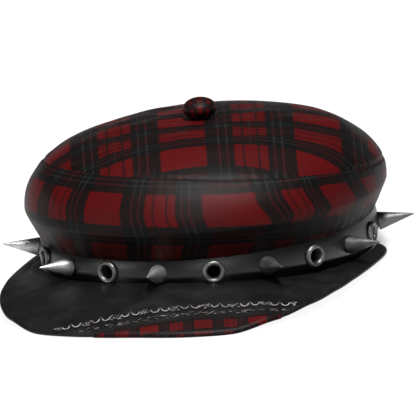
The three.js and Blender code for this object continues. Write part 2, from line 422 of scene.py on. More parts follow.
def sett_share(g, coordinate):
    """Folds a coordinate in repeats to 0 at the wide block and 0.5 at the three stripes."""
    moved = g.math("ADD", coordinate, 0.5)
    part = g.math("FRACT", moved)
    return g.math("ABSOLUTE", g.math("SUBTRACT", part, 0.5))


def twill(g, u, v, thread):
    """Height of a twill weave: the threads of one direction float over the other in slanted steps."""
    across = g.math("DIVIDE", u, thread)
    along = g.math("DIVIDE", v, thread)
    slant = g.math("FRACT", g.math("MULTIPLY", g.math("ADD", across, along), 0.25))
    over = g.math("COMPARE", slant, 0.25)
    over.node.inputs[2].default_value = 0.25
    warp = g.math("ABSOLUTE", g.math("SINE", g.math("MULTIPLY", across, math.pi)))
    weft = g.math("ABSOLUTE", g.math("SINE", g.math("MULTIPLY", along, math.pi)))
    warp_part = g.math("MULTIPLY", warp, over)
    weft_part = g.math("MULTIPLY", weft, g.math("SUBTRACT", 1.0, over))
    return g.math("ADD", warp_part, weft_part)


def tartan_colour(g, u, v, period):
    """Red where both directions are red, nearly dark where one is, with thin grey and red lines."""
    across = sett_share(g, g.math("DIVIDE", u, period))
    along = sett_share(g, g.math("DIVIDE", v, period))
    red_u = g.ramp(across, RED_STOPS)
    red_v = g.ramp(along, RED_STOPS)
    line_u = g.ramp(across, LINE_STOPS)
    line_v = g.ramp(along, LINE_STOPS)
    both = g.math("MULTIPLY", red_u, red_v)
    either = g.math("SUBTRACT", g.math("ADD", red_u, red_v), g.math("MULTIPLY", both, 2.0))
    amount = g.math("ADD", both, g.math("MULTIPLY", either, CROSSED_RED), clamp=True)
    base = g.mix(amount, DARK, RED)
    colour_u = g.mix(red_v, GREY_LINE, RED_LINE)
    colour_v = g.mix(red_u, GREY_LINE, RED_LINE)
    lined = g.mix(g.math("MULTIPLY", line_u, LINE_STRENGTH), base, colour_u)
    return g.mix(g.math("MULTIPLY", line_v, LINE_STRENGTH), lined, colour_v)


def tartan(name, period, thread, hem=False):
    """Twill-woven tartan with a repeat and a thread's width in metres, with painted shade in the
    weave's low threads and, for the crown, towards the hem.
    """
    g = Graph(name)
    u, v = g.uv()
    weave = twill(g, u, v, thread)
    colour = tartan_colour(g, u, v, period)
    fibre = g.noise(g.place(), 900, 2)
    cloudy = g.noise(g.place(), 28, 3)
    tone = g.spread(cloudy, 0.3, 0.7, 0.72, 1.28)
    # Painted shade in the weave's low threads, times random tone from the cloudy and fibre noise
    tone_and_painted_shade = g.math("MULTIPLY", g.spread(weave, 0.0, 1.0, 0.62, 1.12), tone)
    tone_and_painted_shade = g.math("MULTIPLY", tone_and_painted_shade, g.spread(fibre, 0.3, 0.7, 0.88, 1.1))
    # Painted shade darkens the crown's cloth towards its hem, above the band
    if hem:
        near_hem = g.spread(g.height(), HEM_DARK_AT, HEM_LIGHT_AT, HEM_PAINTED_SHADE, 1.0)
        tone_and_painted_shade = g.math("MULTIPLY", tone_and_painted_shade, near_hem)
    height = g.math("ADD", weave, g.math("MULTIPLY", fibre, 0.35))
    g.set(
        Base_Color=g.mix(g.math("SUBTRACT", 1.0, tone_and_painted_shade, clamp=True), colour, SHADOW),
        Roughness=g.spread(fibre, 0.3, 0.7, 0.43, 0.5),
        Specular_IOR_Level=0.085,
        Normal=g.bump(height, 0.22, thread * 0.35, g.bump(cloudy, 0.15, 0.001)),
    )
    return g.material


# The band's gloss falls off between these two heights above its lower edge, in metres
BAND_SOFTER_FROM = 0.0065
BAND_SOFTER_TO = 0.0105


def leather(name, tone, gloss, mottled, grain, shine, creases, soften=0.0):
    """Smooth black leather with a fine pebbled grain, creases and faint grey rubbing."""
    g = Graph(name)
    place = g.place()
    pebbles = g.cells(place, 1500)
    pores = g.noise(place, 2600, 2)
    wear = g.noise(place, 60, 5, 0.65, 0.4)
    broad = g.noise(place, 14, 2)
    patches = g.spread(broad, 0.35, 0.65, 0.2, 1.0)
    rubbed = g.math("MULTIPLY", g.spread(wear, 0.48, 0.72, 0.0, 1.0), patches)
    black = (tone, tone, tone * 1.02)
    grey = (tone * 3.6, tone * 3.6, tone * 3.7)
    grainy = g.math("ADD", g.math("MULTIPLY", pebbles, 0.8), g.math("MULTIPLY", pores, 0.4))
    worn = g.spread(wear, 0.3, 0.7, gloss - creases / 2, gloss + creases)
    rough = g.math("ADD", worn, g.math("MULTIPLY", pores, 0.04))
    if soften:
        fall = g.spread(g.level_height(), BAND_SOFTER_FROM, BAND_SOFTER_TO, -soften, soften)
        rough = g.math("ADD", rough, fall)
    g.set(
        Base_Color=g.mix(g.math("MULTIPLY", rubbed, mottled), black, grey),
        Roughness=rough,
        Specular_IOR_Level=shine,
        Normal=g.bump(grainy, grain, 0.00022, g.bump(wear, creases, 0.0008)),
    )
    return g.material


def steel(name, tone, rough):
    """Worn steel with fine scratches along the piece and darker smudges."""
    g = Graph(name)
    place = g.place()
    stretched = g.tree.nodes.new("ShaderNodeMapping")
    g.link(place, stretched.inputs["Vector"])
    stretched.inputs["Scale"].default_value = (1.0, 1.0, 7.0)
    scratches = g.noise(stretched.outputs[0], 900, 3, 0.7)
    smudge = g.noise(place, 220, 4, 0.6)
    light = (tone, tone, tone * 0.985)
    dull = (tone * 0.45, tone * 0.45, tone * 0.44)
    patches = g.spread(smudge, 0.42, 0.68, 0.0, 0.75)
    g.set(
        Base_Color=g.mix(patches, light, dull),
        Metallic=1.0,
        Roughness=g.spread(scratches, 0.3, 0.7, rough - 0.08, rough + 0.14),
        Normal=g.bump(scratches, 0.25, 0.00012),
    )
    return g.material


def thread(name, tone):
    """Pale twisted embroidery thread."""
    g = Graph(name)
    place = g.place()
    twist = g.noise(place, 2200, 2)
    patch = g.noise(place, 160, 2)
    pale = (tone, tone * 0.9, tone * 0.87)
    dim = (tone * 0.35, tone * 0.27, tone * 0.27)
    g.set(
        Base_Color=g.mix(g.spread(patch, 0.4, 0.65, 0.0, 0.8), pale, dim),
        Roughness=0.6,
        Sheen_Weight=0.2,
        Normal=g.bump(twist, 0.6, 0.0002),
    )
    return g.material


# The crown

# The cloth of the side and of the top meet at a seam, in a plane tilted to the band
SEAM_HEIGHT = 51.5
CLOTH_PITCH = 8.5
CLOTH_ROLL = 7.4
SEAM_GROOVE = 0.75
SEAM_RIDGE = 0.55
SEAM_PUCKERS = 96
PUCKER_DEPTH = 0.16
HEM_GATHERS = 60
GATHER_DEPTH = 0.30
BROAD_SWELL = 1.1
NARROW_SWELL = 0.5

# The soft crown leans to one side, and its hem dips at the front
CROWN_LEAN = 0.016
HEM_ROLL = 1.7
HEM_DIP = 1.0
HEM_SHARE = 0.16
HEM_FOLD = 0.9

# The side's tartan: repeat in metres, a row's height to its width, a repeat and the place of a
# block in degrees, and the height of the middle of a row
SIDE_PERIOD = 0.0745
ROW_SHARE = 0.725
SIDE_REPEAT = 40
SIDE_BLOCK_AT = 7.5
SIDE_ROW_AT = 20.6

# How the side's columns bend at the widest ring: its share of the side's height and how much
# higher it is on the right, how far the bend reaches, its size in repeats and how much more on the
# right
BEND_AT = 0.27
BEND_HIGHER = 0.22
BEND_REACH = 0.27
BEND = 0.062
BEND_MORE = 0.03

# How the columns shift, in repeats: all of them, those on the right below the bend, and those about
# PULL_AT degrees to the right of the view
SHIFT_ALL = 0.065
SHIFT_BELOW = 0.13
PULL = 0.12
PULL_AT = 22
PULL_WIDTH = 14

# The top's tartan: a row's height to its width, and the pattern's shift in millimetres
TOP_ROW_SHARE = 0.86
TOP_SHIFT_ACROSS = 11.0
TOP_SHIFT_FORWARD = -5.7


def crown_profile(share):
    """Mean radius and height of the crown's outer face, share 0 at the lip and 1 at the top."""
    lip_z = BAND_HEIGHT + GAP
    wide_radius = HEAD_RADIUS + BAND_EDGE_WALL + CROWN_OVERHANG
    wide_z = lip_z + CROWN_BELLY
    low = np.linspace(1, 0, 40)[:-1]
    r_low = wide_radius - CROWN_OVERHANG * low ** CROWN_TAPER
    z_low = wide_z - CROWN_BELLY * low
    across = np.cos(np.linspace(0, math.pi / 2, 400))
    across[-1] = 0
    r_high = wide_radius * across
    z_high = wide_z + CROWN_RISE * (1 - across ** CROWN_FLATNESS) ** (1 / CROWN_SHOULDER)
    radius = np.concatenate([r_low, r_high])
    height = np.concatenate([z_low, z_high])
    steps = np.hypot(np.diff(radius), np.diff(height))
    length = np.concatenate([[0], np.cumsum(steps)])
    at = np.asarray(share) * length[-1]
    return np.interp(at, length, radius), np.interp(at, length, height), length[-1]


def crown_slope(share):
    """How far out and up the crown's outline runs at a share, as parts of 1."""
    r0, z0, _ = crown_profile(np.clip(share - 0.004, 0, 1))
    r1, z1, _ = crown_profile(np.clip(share + 0.004, 0, 1))
    run = np.hypot(r1 - r0, z1 - z0)
    return (r1 - r0) / run, (z1 - z0) / run


def cloth_lift(angle):
    """How far the cloth's level lines rise above the band's plane at an angle."""
    seen = seen_angle(angle)
    return CLOTH_PITCH * np.cos(seen) - CLOTH_ROLL * np.sin(seen)


def hem_lift(angle):
    """How far the hem and the band's top rise at an angle."""
    seen = seen_angle(angle)
    return HEM_ROLL * np.sin(seen) - HEM_DIP * np.cos(seen)


def crown_lift(angle, radius, share):
    """The crown's lean at a point, which near the hem gives way to the hem's own rise."""
    near_hem = np.clip(1 - share / HEM_SHARE, 0, 1)
    lean = CROWN_LEAN * radius * np.sin(seen_angle(angle))
    return lean * (1 - near_hem) + hem_lift(angle) * near_hem


def seam_share(angle):
    """Where the seam crosses the crown's outline at each angle, as a share of its length."""
    shares = np.linspace(0, 0.6, 400)
    _, heights, _ = crown_profile(shares)
    return np.interp(SEAM_HEIGHT + cloth_lift(angle), heights, shares)


def soft_swells(angle, share):
    """Broad and narrow swells of the cloth, which end at the hem, the middle and the back."""
    broad = soft_noise(3, 7, 0.55)
    narrow = soft_noise(8, 9, 0.3)
    swell = BROAD_SWELL * broad(angle, share * 5.0)
    swell = swell + NARROW_SWELL * narrow(angle * 2.0, share * 9.0)
    from_back = np.clip((math.pi - np.abs(angle)) / 0.7, 0, 1)
    ends = np.clip(share * 7, 0, 1) * np.clip((1 - share) * 4, 0, 1)
    return swell * smooth_step(from_back) * ends


def outer_face(angle, share, seam):
    """Outer surface of the crown with its soft swells, puckers and seam, in level millimetres."""
    radius, height, length = crown_profile(share)
    away = (share - seam) * length
    groove = -SEAM_GROOVE * np.exp(-(away ** 2)) + SEAM_RIDGE * np.exp(-((away / 5.5) ** 2))
    pucker = PUCKER_DEPTH * np.sin(angle * SEAM_PUCKERS + 2 * np.sin(angle * 7))
    gather = GATHER_DEPTH * np.sin(angle * HEM_GATHERS + 3 * np.sin(angle * 5))
    push = soft_swells(angle, share) + groove
    push = push + pucker * np.exp(-np.abs(away) / 4.5) + gather * np.exp(-share * length / 6.0)
    out, up = crown_slope(share)
    radius = radius + push * up
    height = height - push * out + crown_lift(angle, radius, share)
    return in_plan(angle, radius * oval_share(angle), height)


def inner_face(angle, share, seam):
    """Inner surface of the crown, a wall's thickness in, smooth across the seam."""
    radius, height, _ = crown_profile(share)
    out, up = crown_slope(share)
    radius = np.maximum(radius - CROWN_WALL * up, 0)
    height = height + CROWN_WALL * out * np.clip(share / 0.02, 0, 1)
    height = height + crown_lift(angle, radius, share)
    return in_plan(angle, radius * oval_share(angle), height)


def stretch_of_columns(angle, up):
    """How far the side's columns are pulled sideways, in repeats, up its height from 0 to 1.

    They bend at the widest ring, and to the right of the view they bend more and higher up.
    """
    seen = seen_angle(angle) / RAD
    right = np.clip(seen / 30, 0, 1) * np.clip((150 - seen) / 60, 0, 1)
    widest_at = BEND_AT + BEND_HIGHER * right
    kink = np.clip(1 - np.abs(up - widest_at) / BEND_REACH, 0, 1)
    below = np.clip(1 - up / widest_at, 0, 1)
    pull = PULL * np.exp(-(((seen - PULL_AT) / PULL_WIDTH) ** 2))
    return (BEND + BEND_MORE * right) * kink + pull - SHIFT_ALL - SHIFT_BELOW * right * below


def side_cloth(angle, share, seam):
    """Place on the side's cloth, whose columns run up from the band."""
    _, _, length = crown_profile(share)
    turns = (seen_angle(angle) / RAD - SIDE_BLOCK_AT) / SIDE_REPEAT
    turns = turns - stretch_of_columns(angle, share / seam)
    up = share * length - cloth_lift(angle) - SIDE_ROW_AT
    return np.stack([turns * SIDE_PERIOD, up * MM / ROW_SHARE], -1)


def top_cloth(angle, share, seam):
    """Place on the top's cloth, whose rows and columns are straight from above, up to the seam."""
    radius, height, _ = crown_profile(share)
    across, forward = seen_from_above(in_plan(angle, radius * oval_share(angle), height))
    column = (across + TOP_SHIFT_ACROSS) * MM
    row = (forward + TOP_SHIFT_FORWARD) * MM / TOP_ROW_SHARE
    return np.stack([column, row], -1)


def make_crown(cloth):
    """The side and the top, rolled in at the hem, and the same cloth's wrong side within."""
    angle = np.linspace(-math.pi, math.pi, 361)
    seam = seam_share(angle)
    lip = 0 * seam
    middle = lip + 1

    def layer(name, surface, place_on, low, high, steps):
        shares = [low + (high - low) * k / steps for k in range(steps + 1)]
        points = np.array([surface(angle, share, seam) for share in shares])
        uv = np.array([place_on(angle, share, seam) for share in shares])
        return grid_object(name, to_rest(points), uv, material=cloth)

    outside = outer_face(angle, lip, seam)
    inside = inner_face(angle, lip, seam)
    hem = []
    for t in np.linspace(0, math.pi, 7):
        inward = (1 - math.cos(t)) / 2
        ring = outside * (1 - inward) + inside * inward
        hem.append(ring - np.array([0, 0, HEM_FOLD * math.sin(t)]))
    hem_uv = np.array([side_cloth(angle, lip, seam)] * len(hem))
    pieces = [
        layer("side", outer_face, side_cloth, lip, seam, 46),
        layer("top", outer_face, top_cloth, seam, middle, 74),
        layer("side_within", inner_face, side_cloth, lip, seam, 16),
        layer("top_within", inner_face, top_cloth, seam, middle, 30),
        grid_object("hem", to_rest(np.array(hem)), hem_uv, material=cloth),
    ]
    return weld_and_face(joined("crown_cloth", pieces), 2e-6)


# The button

def make_button(cloth):
    """A squashed ball with a flat foot, its cloth drawn in with small tucks at the foot."""
    steps = 40
    angle = np.linspace(0, 2 * math.pi, 97)
    crown_top = BAND_HEIGHT + GAP + CROWN_BELLY + CROWN_RISE
    foot = math.cos(math.pi * BUTTON_FOOT)
    rows = []
    for i in range(steps + 1):
        t = math.pi * (BUTTON_FOOT + (1 - BUTTON_FOOT) * i / steps)
        radius = BUTTON_WIDTH / 2 * math.sin(t) * (i < steps)
        height = BUTTON_HEIGHT * (foot - math.cos(t)) / (foot + 1)
        low = math.exp(-height / 2.2)
        tuck = BUTTON_TUCK_DEPTH * low * np.sin(angle * BUTTON_TUCKS) * (i < steps)
        rows.append(in_plan(angle, radius + tuck, crown_top + GAP + height - 0.5 * low))
    points = np.array(rows)
    up = points[..., 2] - crown_top
    from_middle = np.hypot(points[..., 0], points[..., 1])
    down_side = np.maximum(7 - up, 0) * 0.9
    arc = (from_middle + down_side) / np.clip(from_middle, 0.01, None)
    across, forward = seen_from_above(points)
    uv = np.stack([across * arc, forward * arc], -1) * MM
    return weld_and_face(grid_object("button_cloth", to_rest(points), uv, material=cloth), 2e-6)


# The band

def stud_turns(offset):
    """Angles of the studs, offset by a share of a step."""
    step = 2 * math.pi / STUD_PAIRS
    return [i * step + offset * step for i in range(STUD_PAIRS)]


def station(angle, lift=0.0):
    """A place on the band's face at the stud line, its outward direction and a lifted one."""
    radius = HEAD_RADIUS + float(band_wall(np.array(float(STUD_HEIGHT))))
    place = in_plan(np.array(angle), radius * oval_share(np.array(angle)), STUD_HEIGHT)
    outward = np.array([place[0] * HEAD_OVAL, place[1] / HEAD_OVAL, 0])
    outward /= np.linalg.norm(outward)
    axis = outward * math.cos(lift) + np.array([0, 0, math.sin(lift)])
    return place, outward, axis


def band_section():
    """Closed section of the band as mean radius and height, from the lower outer edge round."""
    heights = BAND_HEIGHT * (1 - np.cos(np.linspace(0, math.pi, 30))) / 2
    outer = [(HEAD_RADIUS + float(band_wall(z)), z) for z in heights]
    soften = BAND_EDGE_WALL / 3
    top = [(HEAD_RADIUS + soften, BAND_HEIGHT), (HEAD_RADIUS, BAND_HEIGHT - soften)]
    inside = [(HEAD_RADIUS, z) for z in np.linspace(BAND_HEIGHT - 2 * soften, soften, 8)]
    return outer + top + inside + [(HEAD_RADIUS + soften, 0.0)]


def band_bulge(angle, radius, z):
    """How far the padding stands out, which the studs press in."""
    bulge = np.zeros_like(angle)
    for turn in stud_turns(0) + stud_turns(0.5):
        off = (angle - turn + math.pi) % (2 * math.pi) - math.pi
        away = np.hypot(off * radius, z - STUD_HEIGHT)
        bulge -= STUD_DIMPLE * np.exp(-((away / STUD_DIMPLE_WIDTH) ** 2))
    bulge += BAND_FILL + 0.05 * np.sin(angle * 9 + 2 * np.sin(angle * 4))
    return bulge * min(min(z, BAND_HEIGHT - z) / 3, 1)


def make_band(skin):
    """The padded strip, its top edge following the crown's hem."""
    angle = np.linspace(0, 2 * math.pi, 541)[:-1]
    rows = []
    for radius, z in band_section():
        outside = radius > HEAD_RADIUS + BAND_EDGE_WALL - 0.1
        bulge = band_bulge(angle, radius, z) if outside else 0 * angle
        upper = max(z - 12, 0) / (BAND_HEIGHT - 12)
        height = z + hem_lift(angle) * upper
        rows.append(in_plan(angle, (radius + bulge) * oval_share(angle), height))
    rows.append(rows[0])
    points = to_rest(np.array(rows))
    band = grid_object("band_leather", points, wrap=True, material=skin)
    weld_and_face(band, 1e-7)
    cut_eyelet_holes(band)
    return band


def cut_eyelet_holes(band):
    """Round holes through the band for the eyelets' barrels."""
    bm = bmesh.new()
    radius = (EYELET_HOLE / 2 + EYELET_BARREL_WALL + 0.2) * MM
    for turn in stud_turns(0.5):
        place, outward, _ = station(turn)
        bmesh.ops.create_cone(
            bm, cap_ends=True, segments=40, radius1=radius, radius2=radius,
            depth=24 * MM, matrix=standing(outward, place))
    mesh = bpy.data.meshes.new("drills")
    bm.to_mesh(mesh)
    bm.free()
    drills = bpy.data.objects.new("drills", mesh)
    bpy.context.scene.collection.objects.link(drills)
    cut = band.modifiers.new("holes", "BOOLEAN")
    cut.operation = "DIFFERENCE"
    cut.object = drills
    cut.solver = "EXACT"
    bpy.context.view_layer.update()
    graph = bpy.context.evaluated_depsgraph_get()
    done = bpy.data.meshes.new_from_object(band.evaluated_get(graph))
    band.modifiers.clear()
    band.data = done
    bpy.data.objects.remove(drills, do_unlink=True)


def rest_direction(direction):
    """A level direction as it is in the part's frame."""
    c, s = math.cos(REST_PITCH), math.sin(REST_PITCH)
    x, y, z = direction
    return Vector((x, y * c + z * s, -y * s + z * c))


def standing(axis, place):
    """The matrix that stands a piece made along z on a level place, along a level direction."""
    turn = Vector((0, 0, 1)).rotation_difference(rest_direction(axis))
    return Matrix.Translation(Vector(to_rest(place))) @ turn.to_matrix().to_4x4()


# Metal

def lathed(name, profile, steps, material):
    """A turned piece about z, in millimetres, from [radius, z] pairs."""
    angle = np.linspace(0, 2 * math.pi, steps + 1)[:-1]
    rows = [
        np.stack([r * np.cos(angle), r * np.sin(angle), z + 0 * angle], -1) for r, z in profile
    ]
    obj = grid_object(name, np.array(rows) * MM, wrap=True, material=material)
    return weld_and_face(obj, 1e-7)


def rounded(profile, radius, steps=3):
    """The same outline with each inner corner cut into a few short steps."""
    out = [profile[0]]
    for before, corner, after in zip(profile, profile[1:], profile[2:]):
        a, b, c = (np.array(p, float) for p in (before, corner, after))
        la, lc = np.linalg.norm(a - b), np.linalg.norm(c - b)
        cut = min(radius, la / 2.2, lc / 2.2)
        start = b + (a - b) / la * cut
        end = b + (c - b) / lc * cut
        for i in range(steps + 1):
            t = i / steps
            out.append(tuple((1 - t) ** 2 * start + 2 * t * (1 - t) * b + t ** 2 * end))
    out.append(profile[-1])
    return out


def make_spikes(bright, painted_shaded):
    """Cones with a short rim and a rounded tip, the front one and the left ones in brighter steel as
    painted light, the others in darker steel as painted shade.
    """
    radius = SPIKE_WIDTH / 2
    profile = rounded([
        (0.0, 0.0), (radius - 0.5, 0.0), (radius, 0.35), (radius, 0.8),
        (0.42, SPIKE_LENGTH - 0.45), (0.0, SPIKE_LENGTH),
    ], 0.4)
    out = []
    seat = radius * math.sin(SPIKE_TILT) - SPIKE_SINK
    for i, turn in enumerate(stud_turns(0)):
        place, outward, axis = station(turn, SPIKE_TILT)
        # Painted light and shade: the front and left spikes get the lit steel, the right and back
        # ones the shaded steel
        metal = bright if i == 0 or turn > math.pi else painted_shaded
        spike = lathed(f"spike_metal_{i + 1:02d}", profile, 56, metal)
        spike.matrix_world = standing(axis, place + outward * seat)
        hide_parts(f"spike_{i + 1:02d}")
        out.append(spike)
    return out


def make_eyelets(metal):
    """Rounded rings, each with a barrel that lines its hole."""
    outer = EYELET_WIDTH / 2
    hole = EYELET_HOLE / 2
    barrel = hole + EYELET_BARREL_WALL
    profile = [(barrel, -BAND_MID_WALL), (barrel, 0.1), (outer, 0.0)]
    middle = (outer + hole) / 2
    half = (outer - hole) / 2
    for i in range(11):
        t = math.pi * i / 10
        profile.append((middle + half * math.cos(t), 0.25 + EYELET_RING * math.sin(t) ** 0.8))
    profile += [(hole, -BAND_MID_WALL), (barrel, -BAND_MID_WALL)]
    out = []
    for i, turn in enumerate(stud_turns(0.5)):
        place, outward, _ = station(turn)
        ring = lathed(f"eyelet_metal_{i + 1:02d}", profile, 64, metal)
        ring.matrix_world = standing(outward, place - outward * EYELET_SINK)
        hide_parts(f"eyelet_{i + 1:02d}")
        out.append(ring)
    return out


# The peak

# How far the edge hangs down: rows of degrees from the front and share of PEAK_DROP
EDGE_DROP = (
    (0, 0.95), (12, 0.98), (20, 1.0), (30, 0.7), (40, 0.48), (50, 0.37), (60, 0.32), (180, 0.32),
)

# The panel's tartan: its shift across, how deep the middle of a wide block lies, the cloth that the
# round edge takes up, all in millimetres, and a row's height to its width
PANEL_SHIFT_ACROSS = 7.0
PANEL_BLOCK_DEPTH = 7.5
PANEL_EDGE_CLOTH = 2.5
PANEL_ROW_SHARE = 0.8


def peak_root(angle):
    """Where the peak leaves the band, tucked in a little."""
    return (HEAD_RADIUS + BAND_MID_WALL - PEAK_TUCK) * oval_share(angle)


def peak_edge(angle):
    """The peak's outline in plan, squarer than an ellipse."""
    band_radius = HEAD_RADIUS + BAND_MID_WALL
    side = band_radius / math.sqrt(HEAD_OVAL) + PEAK_SIDE
    front = band_radius * math.sqrt(HEAD_OVAL) + PEAK_DEPTH
    n = PEAK_SQUARENESS
    return (np.abs(np.sin(angle) / side) ** n + np.abs(np.cos(angle) / front) ** n) ** (-1 / n)


def edge_drop(angle):
    """How far the peak's edge hangs down at an angle."""
    turn = np.abs(angle) / RAD
    turns = np.array([row[0] for row in EDGE_DROP], float)
    shares = np.array([row[1] for row in EDGE_DROP])
    low = np.clip(np.searchsorted(turns, turn, side="right") - 1, 0, len(turns) - 2)
    part = (turn - turns[low]) / (turns[low + 1] - turns[low])
    return PEAK_DROP * (shares[low] + (shares[low + 1] - shares[low]) * smooth_step(part))


def peak_top(angle, share):
    """Height of the peak's upper face at a share of the way from the band to the edge."""
    front = np.cos(angle) ** 4
    root = PEAK_ROOT_SIDE + (PEAK_ROOT_FRONT - PEAK_ROOT_SIDE) * front
    edge = PEAK_THICKNESS - edge_drop(angle)
    return root + (edge - root) * share ** PEAK_CURL


def end_share(angle):
    """How much of its width the peak keeps near its two rounded ends."""
    into = (np.abs(angle) / RAD - (PEAK_SWEEP - PEAK_ROUNDED_END)) / PEAK_ROUNDED_END
    return np.where(into <= 0, 1.0, np.maximum(np.sqrt(np.clip(1 - into ** 2, 0, 1)), 0.12))


def line_across(depth):
    """How far from the head's middle a straight line across the peak lies, by its depth."""
    return float(peak_edge(np.array(PANEL_TURN))) - depth


def peak_place(angle, share, under=0.0):
    """A level point of the peak, share 0 at the band and 1 at the edge, under 0 to 1 through it."""
    root = peak_root(angle)
    width = (peak_edge(angle) - root) * end_share(angle)
    height = peak_top(angle, share) - PEAK_THICKNESS * under
    return in_plan(angle, root + width * share, height)


def beyond_line(points):
    """How far points lie beyond the line where the panel begins, in millimetres."""
    ahead = points[..., 0] * math.sin(PANEL_TURN) - points[..., 1] * math.cos(PANEL_TURN)
    return ahead - line_across(PANEL_DEPTH)


def make_peak(skin):
    """The leather, one closed sheet with a round edge, which the panel covers at the front."""
    angle = np.linspace(-PEAK_SWEEP * RAD, PEAK_SWEEP * RAD, 421)
    width = (peak_edge(angle) - peak_root(angle)) * end_share(angle)
    nose = np.minimum(PEAK_THICKNESS / 2, width / 3) / width
    wave = soft_noise(31, 7, 0.4)
    rows = []
    steps = 44
    for j in range(steps + 1):
        share = (1 - nose) * j / steps
        points = peak_place(angle, share)
        fade = math.sin(math.pi * j / steps)
        points[..., 2] += PEAK_WAVE * fade * wave(angle * 4, share * 6)
        rows.append(points)
    for k in range(1, 8):
        t = math.pi * k / 8
        share = 1 - nose * (1 - math.sin(t))
        rows.append(peak_place(angle, share, LEATHER_SHARE * (1 - math.cos(t)) / 2))
    for j in range(steps, -1, -1):
        rows.append(peak_place(angle, (1 - nose) * j / steps, LEATHER_SHARE))
    rows.append(rows[0])
    shell = grid_object("peak_leather", to_rest(np.array(rows)), material=skin)
    return weld_and_face(shell, 1e-7)


def panel_start(angle):
    """The share of the peak's width at which the panel begins, 1 where it misses the line."""
    shares = np.linspace(0, 1.0, 200)
    starts = np.ones_like(angle)
    for i, turn in enumerate(angle):
        away = beyond_line(peak_place(np.full_like(shares, turn), shares))
        if away[-1] > 0:
            starts[i] = np.interp(0.0, away, shares)
    return starts


def make_panel(cloth):
    """Tartan cloth over the front of the peak, wrapped round its edge and under it."""
    angle = np.linspace(-PANEL_HALF_SWEEP, PANEL_HALF_SWEEP, 401)
    start = panel_start(angle)
    inside = start < 0.995
    angle = angle[inside]
    start = start[inside]
    width = peak_edge(angle) - peak_root(angle)
    nose = PEAK_THICKNESS / 2 / width
    lift = PANEL_LIFT * np.clip((1 - start) / 0.08, 0, 1)
    first = np.clip(start, 0, 1 - nose)
    rows = []
    steps = 36
    for j in range(steps + 1):
        share = first + (1 - nose - first) * j / steps
        points = peak_place(angle, np.clip(share, 0, 1))
        points[..., 2] += lift * min(1.0, (j + 0.3) / 2.5)
        rows.append(points)
    for k in range(1, 9):
        t = math.pi * k / 8
        out = 1 - nose * (1 - math.sin(t)) + lift / width * math.sin(t)
        points = peak_place(angle, out, (1 - math.cos(t)) / 2)
        points[..., 2] += lift * max(math.cos(t), 0)
        rows.append(points)
    for j in range(1, 9):
        share = (1 - nose) - (1 - nose - first) * j / 8
        rows.append(peak_place(angle, share, 1.0))
    points = np.array(rows)
    across, forward = seen_from_above(points)
    round_edge = np.arange(len(rows))[:, None] > steps
    forward = forward + np.where(round_edge, PANEL_EDGE_CLOTH, 0.0)
    column = (across + PANEL_SHIFT_ACROSS) * MM
    row = (forward - line_across(PANEL_BLOCK_DEPTH)) * MM / PANEL_ROW_SHARE
    uv = np.stack([column, row], -1)
    return grid_object("panel_cloth", to_rest(points[::-1]), uv[::-1], material=cloth)


# The lace stitching along the panel

def line_point(along, out):
    """A level point of the peak by its place along and out from the lace's line, and its share."""
    c, s = math.cos(PANEL_TURN), math.sin(PANEL_TURN)
    far = line_across(LACE_DEPTH) + out
    x = along * c + far * s
    forward = far * c - along * s
    angle = math.atan2(x, forward)
    radius = math.hypot(x, forward)
    root = float(peak_root(np.array(angle)))
    edge = float(peak_edge(np.array(angle)))
    share = (radius - root) / (edge - root)
    z = float(peak_top(np.array(angle), min(max(share, 0), 1)))
    return np.array([x, -forward, z]), share


def make_lace(pale, dim):
    """A row of paired curls with crossed stitches between them, and a looser row beyond it."""
    rng = random.Random(5)
    bright = []
    faint = []

    def add(where, pairs, radius):
        points = []
        for along, out in pairs:
            point, share = line_point(along, out)
            if share > 0.985 or share < 0.02:
                return
            points.append(point + np.array([0, 0, LACE_LIFT + rng.uniform(-0.08, 0.1)]))
        where.append((points, radius))

    def add_curl(centre):
        size = rng.uniform(CURL_SMALLEST, CURL_LARGEST)
        curl = []
        for k in range(13):
            t = math.pi * (1.08 * k / 12 - 0.04)
            curl.append((centre + size * math.cos(t), -1.5 + size * 1.35 * math.sin(t)))
        add(bright, curl, CURL_THREAD)

    def add_cross(middle, where):
        along = middle + rng.uniform(-2.6, 2.6)
        out = rng.uniform(-2.6, 2.0)
        tilt = rng.choice((-1, 1)) * rng.uniform(0.8, 1.8)
        stitch = [(along + s, out + s * tilt) for s in (-0.8, 0, 0.8)]
        add(where, stitch, FINE_THREAD)

    def add_loose(middle, where):
        along = middle + rng.uniform(-LACE_PITCH / 2, LACE_PITCH / 2)
        out = LACE_ROWS_APART + rng.uniform(-1.7, 1.7)
        tilt = rng.uniform(-1.0, 1.0)
        reach = rng.uniform(0.5, 1.1)
        stitch = [(along + s, out + s * tilt) for s in (-reach, reach)]
        add(where, stitch, FINE_THREAD)

    for m in range(-6, 7):
        middle = m * LACE_PITCH + LACE_START
        for side in (-1, 1):
            add_curl(middle + side * CURL_APART)
        add(bright, [(middle - 0.25, -2.5), (middle + 0.25, -3.1)], CURL_THREAD)
        for k in range(9):
            add_cross(middle + LACE_PITCH / 2, bright if k % 3 else faint)
        for k in range(16):
            add_loose(middle, faint if k % 2 else bright)
    return [
        thread_object("lace_bright", bright, pale),
        thread_object("lace_faint", faint, dim),
    ]


